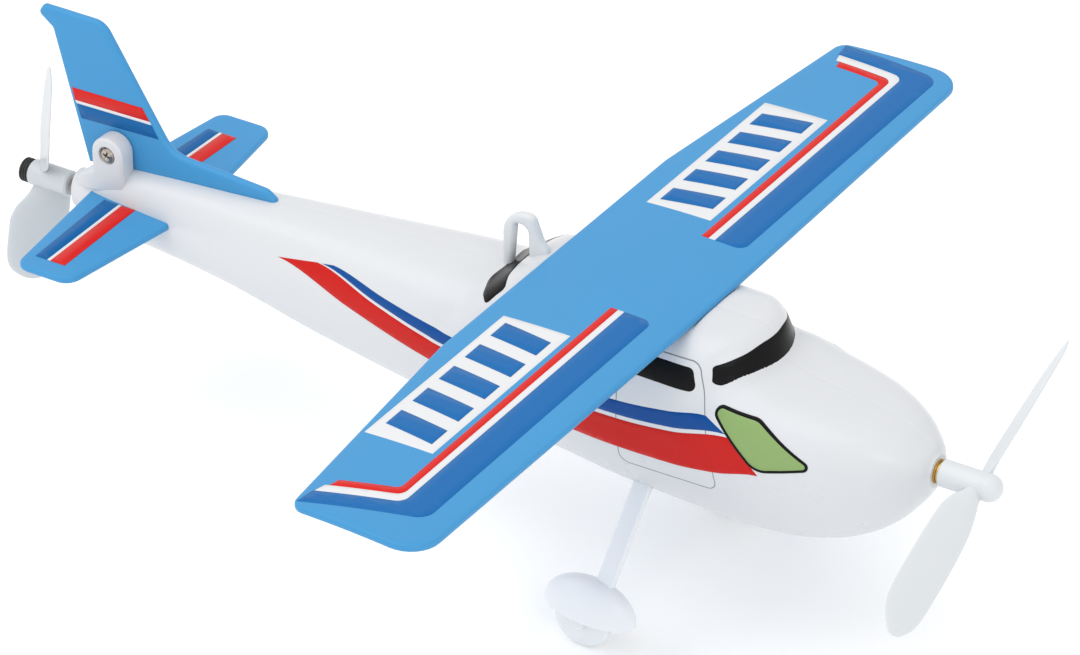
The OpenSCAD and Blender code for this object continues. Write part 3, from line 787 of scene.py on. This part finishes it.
def cabin_foils():
    """Windows, and painted shade for the door's moulded groove, each drawn from the side that it is seen
    from.
    """
    half_screen = [
        (6, 25.3, 20),
        (13.3, 23.6, 12),
        (17.9, 22.2, 1.6),
        (19.6, 16.6, 1),
        (17.4, 17.6, 3),
        (14, 18.9, 8),
        (9, 19.5, 10),
    ]
    screen = rounded(half_screen + [(-y, h, radius) for y, h, radius in reversed(half_screen)])
    print_foil("windscreen", [screen], on_windscreen, 0, WINDOW, step=1)
    half_rear = [
        (6.4, 3, 8),
        (5.4, 9, 8),
        (8.2, 16.3, 8),
        (11.1, 19.8, 1.4),
        (15.2, 16.4, 1.6),
        (13, 11, 8),
        (12.2, 4, 10),
    ]
    rear = rounded([(x, -y, radius) for x, y, radius in half_rear] + half_rear[::-1])
    print_foil("rear_window", [rear], on_roof, 0, WINDOW, step=1)
    window = rounded([(52, 21.5, 1.5), (52, 15.7, 1.5), (77.2, 15.4, 1.6), (75.2, 21.4, 1.8)])
    door = rounded([(54, 22.8, 3), (76.6, 23.0, 3.2), (80.5, 11, 10), (84.9, -11.4, 2.6), (55, -12.3, 3)])
    # Painted shade: a grey strip along the door outline stands for the groove's shadow
    door_groove_shade = outline_strip(door, 0.3)
    for side, label in SIDES:
        place = on_side(side)
        print_foil(f"side_window_{label}", [window], place, 0, WINDOW, step=1)
        print_foil(f"door_groove_shade_{label}", door_groove_shade, place, -0.03, PAINTED_GROOVE_SHADE, step=1)


# Cheatlines, as heights at positions along the body: edges of the blue and the red line
BLUE_TOP = np.array([[-41, 11.9], [-22, 9.6], [0, 7.5], [30, 6.1], [55.7, 7.0], [69.2, 8.6], [80.9, 10.5]])
BLUE_LOW = np.array([[-45, 11.2], [-25, 7.7], [-2, 4.3], [28, 2.2], [55.9, 2.8], [71, 4.3], [87.2, 7.3]])
RED_TOP = np.array([[-46.5, 11.0], [-25, 6.9], [-3, 3.4], [28, 1.1], [55.9, 1.6], [71.1, 3.1], [88.7, 6.6]])
RED_LOW = np.array([
    [-60, 8.3], [-34, 2.7], [-7.3, -2.2], [28, -6.6], [55.6, -7.6], [70.9, -7.2], [84.2, -5.4], [97, -2.3]
])


def curve(rows):
    """Points along a smooth line through the rows."""
    x = np.linspace(rows[0, 0], rows[-1, 0], 60)
    return np.stack([x, smooth_rows(rows, x, 1)], 1)


def cheatlines():
    """The blue and the red line along each side of the body, in their printed colours darkened all along by
    painted shade from the wing.
    """
    blue = np.concatenate([curve(BLUE_LOW), curve(BLUE_TOP)[::-1]])
    red = np.concatenate([curve(RED_LOW), curve(RED_TOP)[::-1]])
    for side, label in SIDES:
        place = on_side(side)
        print_foil(f"blue_line_{label}", [blue], place, 0, SHADED_LINE_BLUE)
        print_foil(f"red_line_{label}", [red], place, 0, SHADED_LINE_RED)


def flash():
    """Plain slanted lozenge with a dark border on each side of the nose."""
    border = rounded([(80, 14.6, 2), (95.5, 13.2, 6), (113, 3, 1.6), (96, -1.6, 6)])
    border_w = 0.8
    face = moved_left(border, border_w if signed_area(border) > 0 else -border_w)
    for side, label in SIDES:
        place = on_side(side)
        print_foil(f"flash_border_{label}", [border, face], place, FOIL_T / 2, WINDOW)
        print_foil(f"flash_face_{label}", [face], place, FOIL_T / 2, GREEN)


# Wing stripes from the trailing edge forward: edges along the wing, edges of their turn across
# the tip (at TURN_X), corner radii and the end of the turn towards the trailing edge
TURN_X = 48
STRIPES = [
    ("red", RED, (49.1, 118.6, 2), (51.3, 121.6, 3), 33.4),
    ("white", PAPER, (51.3, 121.6, 3), (53.2, 124.8, 3.5), 31.6),
    ("blue", WING_BAND, (53.2, 124.8, 3.5), (61.9, 130.6, 5), 30.4),
]
# Each wing's stickers sit a little differently: shift along x and y, inner end, slope of the turn
STICKER_FIT = {STARBOARD: (0, 0, 18.4, 0.33), PORT: (1.5, 4.8, 25.3, 0.1)}
# Corners of each wing's white panel: trailing and leading edge, inner and outer end
PANELS = {STARBOARD: (27.2, 47.6, 36, 101.3), PORT: (28.8, 48.7, 33.2, 96.8)}
# Slanted bars on a panel: number, gap between two, lean, and margins to the panel's long sides,
# inner end and outer end
BARS, BAR_GAP, BAR_LEAN = 5, 5, 2.5
BAR_MARGIN, BAR_INNER_MARGIN, BAR_OUTER_MARGIN = 2.5, 3, 3.5


def wing_stripe(aft, fore, end_x, side):
    """Outline of a stripe along the wing that turns across it near the tip."""
    shift_x, shift_y, inner_y, slope = STICKER_FIT[side]

    def turn(edge, x):
        return edge[1] + shift_y + slope * (TURN_X - x)

    aft_x, fore_x, end_x = aft[0] + shift_x, fore[0] + shift_x, end_x + shift_x
    inner_r = 3 if fore_x - aft_x > 5 else 0
    slanted_x = end_x + 0.8
    corners = [
        (aft_x, inner_y, 0),
        (fore_x, inner_y, inner_r),
        (fore_x, turn(fore, fore_x), fore[2]),
        (end_x, turn(fore, end_x), 0),
        (slanted_x, turn(aft, slanted_x), 0),
        (aft_x, turn(aft, aft_x), aft[2]),
    ]
    return rounded([(x, side * y, radius) for x, y, radius in corners])


def wing_panel(side, label):
    """White panel on one wing, with its bars lying on it."""
    top = WING_T / 2
    aft_x, fore_x, inner_y, outer_y = PANELS[side]
    panel = np.array(box_corners(aft_x, side * inner_y, fore_x, side * outer_y))
    print_foil(f"wing_panel_{label}", [panel], on_wing, top, PAPER, step=2.5)
    room = outer_y - inner_y - BAR_INNER_MARGIN - BAR_OUTER_MARGIN - BAR_LEAN
    pitch = (room + BAR_GAP) / BARS
    aft_x, fore_x = aft_x + BAR_MARGIN, fore_x - BAR_MARGIN
    for i in range(BARS):
        start = inner_y + BAR_INNER_MARGIN + pitch * i
        end = start + pitch - BAR_GAP
        bar = [(aft_x, start), (fore_x, start + BAR_LEAN), (fore_x, end + BAR_LEAN), (aft_x, end)]
        bar = np.array([(x, side * y) for x, y in bar])
        name = f"wing_bar_{label}_{i + 1}"
        print_foil(name, [bar], on_wing, top + FOIL_T, WING_BAND, step=2.5)


def wing_foils():
    for side, label in SIDES:
        for kind, material, aft, fore, end_x in STRIPES:
            outline = wing_stripe(aft, fore, end_x, side)
            name = f"wing_{kind}_stripe_{label}"
            print_foil(name, [outline], on_wing, WING_T / 2, material, step=2)
        wing_panel(side, label)


# Fin stripes as (x, h) corners
FIN_STRIPES = [
    ("red", RED, [(-136.3, 32.7), (-112.4, 33.2), (-110, 29.5), (-135.4, 28.9)]),
    ("white", PAPER, [(-135.4, 28.9), (-110, 29.5), (-109.4, 28.6), (-134.8, 28.0)]),
    ("blue", DEEP_BLUE, [(-134.8, 28.0), (-109.4, 28.6), (-107.2, 24.8), (-133.5, 23.7)]),
]
# Tailplane stripes: trailing and leading edge at their inner end, then at their outer end
TAIL_STRIPES = [
    ("blue", DEEP_BLUE, (-121.2, -116.2), (-119.4, -115.5)),
    ("white", PAPER, (-116.2, -115.2), (-115.5, -114.5)),
    ("red", RED, (-115.2, -110.5), (-114.5, -109.6)),
]
TAIL_STRIPE_INNER_Y, TAIL_STRIPE_OUTER_Y = 9, {STARBOARD: 43.3, PORT: 38.8}


def tail_foils():
    for side, label in SIDES:
        place = upright(side * (FIN_T / 2 + FOIL_T / 2))
        for kind, material, corners in FIN_STRIPES:
            print_foil(f"fin_{kind}_stripe_{label}", [np.array(corners)], place, 0, material, step=2)
        place = level(TAILPLANE_TOP_H + FOIL_T / 2)
        inner_y, outer_y = side * TAIL_STRIPE_INNER_Y, side * TAIL_STRIPE_OUTER_Y[side]
        for kind, material, inner, outer in TAIL_STRIPES:
            outline = [(inner[0], inner_y), (inner[1], inner_y), (outer[1], outer_y), (outer[0], outer_y)]
            name = f"tailplane_{kind}_stripe_{label}"
            print_foil(name, [np.array(outline)], place, 0, material, step=2)


# ---------------- small parts


def hang_loop():
    """Eye behind the wing, its front leg sloping forward into the cabin."""
    outer = rounded([
        (4.8, 14, 0), (4.8, 38, 7), (14.2, 38, 2.4), (16.8, 31.2, 8), (19.4, 27.3, 0), (19.4, 14, 0)
    ])
    hole = rounded([(7.2, 16.5, 0), (8.8, 34.5, 1.2), (12.7, 34.5, 2.3), (13.3, 16.5, 0)])
    loop = new_object("hang_loop_eye", *plate_mesh([outer, hole], 3, 1.1, upright(0), step=1))
    finish_piece(loop, PROP_WHITE, node="hang_loop", crease=50)


def screw():
    """Pan head with a cross recess, in the starboard ear."""
    centre = (LUG_X, 0, SHAFT_H + LUG_H)
    head = [(-5.8, 0), (-5.8, SCREW_HEAD_R), (-6.5, SCREW_HEAD_R), (-7.0, 1.9), (-7.3, 1.2), (-7.4, 0)]
    shank = [(-5.9, 0), (-5.9, 1.1), (5.2, 1.1), (5.2, 0)]
    body = new_object("tail_screw_head", *turned_mesh(head, "Y", centre, 48))
    combine(body, new_object("shank", *turned_mesh(shank, "Y", centre, 24)), "UNION")
    slot = [
        [(x * reach, y, z * half_w) for x, z in ((-1, -1), (1, -1), (1, 1), (-1, 1))]
        for y, reach, half_w in ((-7.6, 1.4, 0.33), (-6.4, 0.6, 0.22))
    ]
    for turn in (20, 110):
        spin = np.array(Matrix.Rotation(math.radians(turn), 3, "Y"))
        points, faces = loft_mesh(slot)
        combine(body, new_object("slot", points @ spin.T + centre, faces), "DIFFERENCE")
    finish_piece(body, NICKEL, node="tail_screw", crease=30)


# Blade rows: share of the radius, one edge, the other edge, thickness; beyond TIP_START the edges
# close to a round tip. A blade untwists by WASHOUT degrees from its axis to its tip
TIP_START, WASHOUT = 0.8, 6
NOSE_BLADE = np.array([
    [0.03, -2.4, 2.4, 3.2],
    [0.08, -2.6, 3.0, 2.6],
    [0.16, -4.0, 5.2, 1.6],
    [0.26, -5.2, 6.6, 1.2],
    [0.45, -6.1, 6.9, 1.05],
    [0.70, -6.5, 6.8, 0.95],
    [0.88, -6.3, 6.0, 0.85],
    [1.0, -5.8, 4.8, 0.75],
])
TAIL_BLADE = np.array([
    [0.05, -3.8, 1.3, 3.0],
    [0.11, -6.6, 1.9, 2.2],
    [0.19, -9.0, 3.2, 1.5],
    [0.32, -9.0, 6.4, 1.2],
    [0.45, -8.8, 7.8, 1.05],
    [0.70, -8.4, 8.0, 0.95],
    [0.88, -7.8, 7.4, 0.85],
    [1.0, -7.0, 6.6, 0.75],
])


def blade(rows, x, radius, turn, pitch):
    """Loft along a blade with lens-shaped, cambered sections and a thin round tip."""
    tip_thinning, camber = 0.35, 0.35
    tip_shares = TIP_START + (1 - TIP_START) * np.sin(np.linspace(0.08, 1.46, 18))
    shares = np.concatenate([np.linspace(rows[0, 0], TIP_START, 34), tip_shares])
    sections = []
    for share in shares:
        left, right, thick = (float(smooth_rows(rows, share, k)) for k in (1, 2, 3))
        close = max(0.0, (share - TIP_START) / (1 - TIP_START))
        narrow = math.sqrt(max(0.0, 1 - close**2.2))
        middle, half = (left + right) / 2, (right - left) / 2 * narrow
        twist = math.radians(pitch + WASHOUT * (0.5 - share))
        section = []
        for b in np.linspace(0, 2 * math.pi, 28, endpoint=False):
            chord = middle + half * math.cos(b)
            depth = thick / 2 * math.sin(b) * (tip_thinning + (1 - tip_thinning) * narrow)
            depth += camber * math.sin(b) ** 2 * narrow
            section.append([
                -chord * math.sin(twist) + depth * math.cos(twist),
                chord * math.cos(twist) + depth * math.sin(twist),
                share * radius,
            ])
        sections.append(section)
    spin = np.array(Matrix.Rotation(math.radians(turn), 3, "X"))
    points, faces = loft_mesh(sections)
    return points @ spin.T + [x, 0, SHAFT_H], faces


def propeller(name, hub_profile, rows, blade_x, radius, turn, pitch):
    """Hub with two blades; turn is where they stand round the shaft, in degrees."""
    piece = new_object(name, *turned_mesh(hub_profile, "X", (0, 0, SHAFT_H), 64))
    for half_turn in (0, 180):
        points, faces = blade(rows, blade_x, radius, turn + half_turn, pitch)
        combine(piece, new_object("blade", points, faces), "UNION")
    return piece


def ball_profile(centre, radius, start):
    """Profile of a ball's front, from its angle start (degrees) to its pole."""
    turns = np.radians(np.linspace(start, 90, 14))
    return [(centre + radius * math.sin(t), radius * math.cos(t)) for t in turns]


def propellers():
    nose_hub = [(138.2, 0.85), (138.2, 3.3), (138.6, 3.7), (148.4, 3.7)]
    nose_hub += ball_profile(151.8, 3.8, -20) + [(149, 0), (149, 0.85)]
    nose = propeller(
        "nose_propeller_skin", nose_hub, NOSE_BLADE, blade_x=149, radius=50.3, turn=111.5, pitch=36
    )
    finish_piece(nose, PROP_WHITE, "nose_prop", "nose_propeller", crease=40)
    tail_hub = [(-139, 1.7), (-139, 3.2), (-139.5, 3.7), (-152, 3.7), (-152.4, 3.3)]
    tail_hub += [(-152.4, 0.85), (-145, 0.85), (-145, 1.7)]
    tail = propeller(
        "tail_propeller_skin", tail_hub, TAIL_BLADE, blade_x=-149.8, radius=31.8, turn=-12, pitch=44
    )
    finish_piece(tail, GREY_MILKY, "tail_prop", "tail_propeller", crease=40)


def tail_cap():
    """Rubber cap with ribs round its rim."""
    profile = [(-154.4, 0.82), (-154.4, 0), (-155.5, 0), (-155.6, 2.6), (-155.1, 3.4)]
    for rib in range(3):
        start = -154.9 + 0.8 * rib
        profile += [(start, 3.5), (start + 0.35, 3.5), (start + 0.5, 3.25), (start + 0.7, 3.25)]
    profile += [(-152.5, 3.4), (-152.45, 3.1), (-152.45, 0.82)]
    cap = new_object("tail_cap_rubber", *turned_mesh(profile, "X", (0, 0, SHAFT_H), 64))
    finish_piece(cap, BLACK_RUBBER, "tail_prop", "tail_cap", crease=30)


def rubber_band():
    """Two strands of flat rubber over both wire eyes, made as two halves that meet at their middle, one round
    each propeller's eye."""
    strand_w, strand_h = 1, 2
    low, high = node_box("rubber_band")
    middle = (low[0] + high[0]) / 2
    reach = (high[1] - low[1]) / 2
    inside = reach - strand_w
    turns = np.linspace(-math.pi / 2, math.pi / 2, 16)
    for body, eye_x, outward in (("nose_prop", high[0] - reach, 1), ("tail_prop", low[0] + reach, -1)):
        outline = [(middle, -reach)]
        outline += [(eye_x + outward * reach * math.cos(t), reach * math.sin(t)) for t in turns]
        outline += [(middle, reach), (middle, inside)]
        outline += [(eye_x + outward * inside * math.cos(t), -inside * math.sin(t)) for t in turns]
        outline += [(middle, -inside)]
        mesh = plate_mesh([np.array(outline)], strand_h, 0.35, level(0), step=3)
        piece = new_object(f"band_{body}", *mesh)
        finish_piece(piece, BAND_RUBBER, body=None, node="rubber_band")
        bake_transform(piece)


# ---------------- undercarriage

# Heights in this section are above the ground
AXLE_X, AXLE_Y, WHEEL_R, WHEEL_W, WHEEL_GAP = 53.5, 38, 8.5, 4, 0.3
# Strut: where it leaves the body, its section, its length inside the body and its foot
LEG_X, LEG_Y, LEG_H = 59, 17.3, SHAFT_H - 21.3
LEG_W, LEG_T, LEG_INSIDE = 5, 2.4, 5
# Spat: its middle, its flat underside and its tilt in degrees, then its size
SPAT_X, SPAT_BASE_H, SPAT_DROOP = 55.2, 10.6, 4
SPAT_L, SPAT_W, SPAT_RISE, SPAT_RIM = 27.6, 13, 10.6, 0.8
LEG_FOOT_Y, LEG_FOOT_H = AXLE_Y - 0.5, SPAT_BASE_H + 8
# Cheeks beside the wheel; the pin stands PIN_PROUD out of each
CHEEK_T, CHEEK_R, PIN_PROUD = 1.9, 2, 0.05


def spat_mesh():
    """Dome over the wheel, flat below, with a rounded rim and a nose-down tilt."""
    rim_share, tuck = 0.2, 0.06
    sections = []
    for t in np.linspace(0, 1, 22):
        if t < rim_share:
            rim = math.radians(90 * t / rim_share)
            z, wide = SPAT_RIM * (1 - math.cos(rim)), 1 - tuck * (1 - math.sin(rim))
        else:
            rise = math.radians(89 * (t - rim_share) / (1 - rim_share))
            z, wide = SPAT_RIM + (SPAT_RISE - SPAT_RIM) * math.sin(rise), math.cos(rise)
        ring = [
            (SPAT_L / 2 * wide * math.cos(b), SPAT_W / 2 * wide * math.sin(b), z)
            for b in np.linspace(0, 2 * math.pi, 72, endpoint=False)
        ]
        sections.append(ring)
    points, faces = loft_mesh(sections)
    droop = np.array(Matrix.Rotation(math.radians(SPAT_DROOP), 3, "Y"))
    return points @ droop.T + [SPAT_X, AXLE_Y, SPAT_BASE_H], faces


def leg(side):
    """Splayed strut with its spat, hollowed for the wheel between two cheeks that hold its pin."""
    label = "left" if side == PORT else "right"
    piece = new_object(f"leg_{label}_skin", *spat_mesh())
    tilt = math.atan((LEG_FOOT_Y - LEG_Y) / (LEG_H - LEG_FOOT_H))
    length = (LEG_H - LEG_FOOT_H) / math.cos(tilt)
    outline = [(x, h, 0.3) for x, h in box_corners(-LEG_W / 2, -length, LEG_W / 2, LEG_INSIDE)]
    turn = np.array(Matrix.Rotation(tilt, 3, "X"))

    def along_leg(points):
        return points[:, [0, 2, 1]] @ turn.T + [LEG_X, LEG_Y, LEG_H]

    strut = plate_mesh([rounded(outline)], LEG_T, 0.25, along_leg, step=2)
    combine(piece, new_object("strut", *strut), "UNION")
    slot_y = WHEEL_W / 2 + WHEEL_GAP
    tongue = rounded([
        (-CHEEK_R, -CHEEK_R, CHEEK_R - 0.1),
        (CHEEK_R, -CHEEK_R, CHEEK_R - 0.1),
        (CHEEK_R, 4, 0),
        (-CHEEK_R, 4, 0),
    ])

    def beside_wheel(points):
        return points[:, [0, 2, 1]] + [AXLE_X, AXLE_Y, WHEEL_R]

    cheeks_w = 2 * (slot_y + CHEEK_T - PIN_PROUD)
    cheeks = plate_mesh([tongue], cheeks_w, 0.4, beside_wheel, step=1)
    combine(piece, new_object("cheeks", *cheeks), "UNION")
    well_r = WHEEL_R + 0.4
    well = [(-slot_y, 0), (-slot_y, well_r), (slot_y, well_r), (slot_y, 0)]
    tool = new_object("well", *turned_mesh(well, "Y", (AXLE_X, AXLE_Y, WHEEL_R), 96))
    combine(piece, tool, "DIFFERENCE")
    if side == STARBOARD:
        piece.data.transform(Matrix.Scale(-1, 4, (0, 1, 0)))
        piece.data.flip_normals()
    finish_piece(piece, MILKY, node=f"leg_{label}", crease=35)


def wheel(side):
    """Roller with flat faces and a rounded tread."""
    label = "left" if side == PORT else "right"
    half = WHEEL_W / 2
    face = [(half - 0.2, 0.88), (half, 1.6), (half, WHEEL_R - 0.9)]
    edge = [(half - 0.25, WHEEL_R - 0.35), (half - 0.8, WHEEL_R - 0.05), (0, WHEEL_R)]
    profile = face + edge + [(-a, r) for a, r in reversed(face + edge[:-1])]
    centre = (AXLE_X, side * AXLE_Y, WHEEL_R)
    disc = new_object(f"wheel_{label}_skin", *turned_mesh(profile, "Y", centre, 96))
    finish_piece(disc, MILKY, f"{label}_wheel", f"wheel_{label}", crease=30)


# ---------------- carried-over CAD nodes


def paint_node(name, material):
    """Gives a CAD node, whose shape is right as it is, its material."""
    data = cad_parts[name].data
    data.materials.clear()
    data.materials.append(material)


# ---------------- stage


def make_camera():
    """Long lens, at the photograph's angle and framing."""
    camera = bpy.data.cameras.new("camera")
    camera.sensor_width = 36
    camera.lens = 183
    camera.clip_end = 20
    obj = bpy.data.objects.new("camera", camera)
    bpy.context.scene.collection.objects.link(obj)
    azimuth, elevation, distance = math.radians(32.0), math.radians(31.9), 1.4692
    back = Vector((
        math.sin(azimuth) * math.cos(elevation),
        -math.cos(azimuth) * math.cos(elevation),
        math.sin(elevation),
    ))
    target = Vector((0.01586, 0, SHAFT_H * MM + 0.00366))
    obj.location = target + back * distance
    obj.rotation_euler = back.to_track_quat("Z", "Y").to_euler()
    bpy.context.scene.camera = obj


def make_light(name, location, size, power):
    """Square soft light that faces the origin."""
    light = bpy.data.lights.new(name, "AREA")
    light.size = size
    light.energy = power
    obj = bpy.data.objects.new(name, light)
    obj.location = location
    obj.rotation_euler = Vector(location).to_track_quat("Z", "Y").to_euler()
    bpy.context.scene.collection.objects.link(obj)


def make_stage():
    reach = 4000
    corners = [(x, y, 0) for x, y in box_corners(-reach, -reach, reach, reach)]
    floor = new_object("floor", corners, [[0, 1, 2, 3]])
    paper = finish("floor_paper", (0.97, 0.97, 0.97), 0.8, mottle=0.005, patch=2, Emission_Strength=0.08)
    floor.data.materials.append(paper)
    world = bpy.data.worlds.new("studio")
    world.use_nodes = True
    set_inputs(world.node_tree.nodes["Background"], Color=(1, 1, 1, 1), Strength=0.93)
    bpy.context.scene.world = world
    make_light("key", (-0.5, -0.5, 1.5), 1.6, 11)
    make_light("front", (1.4, -0.9, 0.9), 0.8, 4)
    bpy.context.scene.view_settings.view_transform = "Standard"


# ---------------- build

fuselage_half("shell_port", "fuselage_left", PORT)
fuselage_half("shell_starboard", "fuselage_right", STARBOARD)
for side, label in SIDES:
    lug_ear(side, label)
    leg(side)
    wheel(side)
wings_and_tail()
cabin_foils()
cheatlines()
wing_foils()
flash()
tail_foils()
hang_loop()
screw()
propellers()
tail_cap()
rubber_band()
for node in ("nose_bush", "nose_washer"):
    paint_node(node, BRASS)
for node in ("nose_shaft", "tail_bush", "tail_washer", "tail_shaft", "tail_propeller_sleeve"):
    paint_node(node, STEEL)
for node in ("axle_pin_left", "axle_pin_right"):
    paint_node(node, MILKY)
make_stage()
make_camera()

bpy.context.view_layer.update()
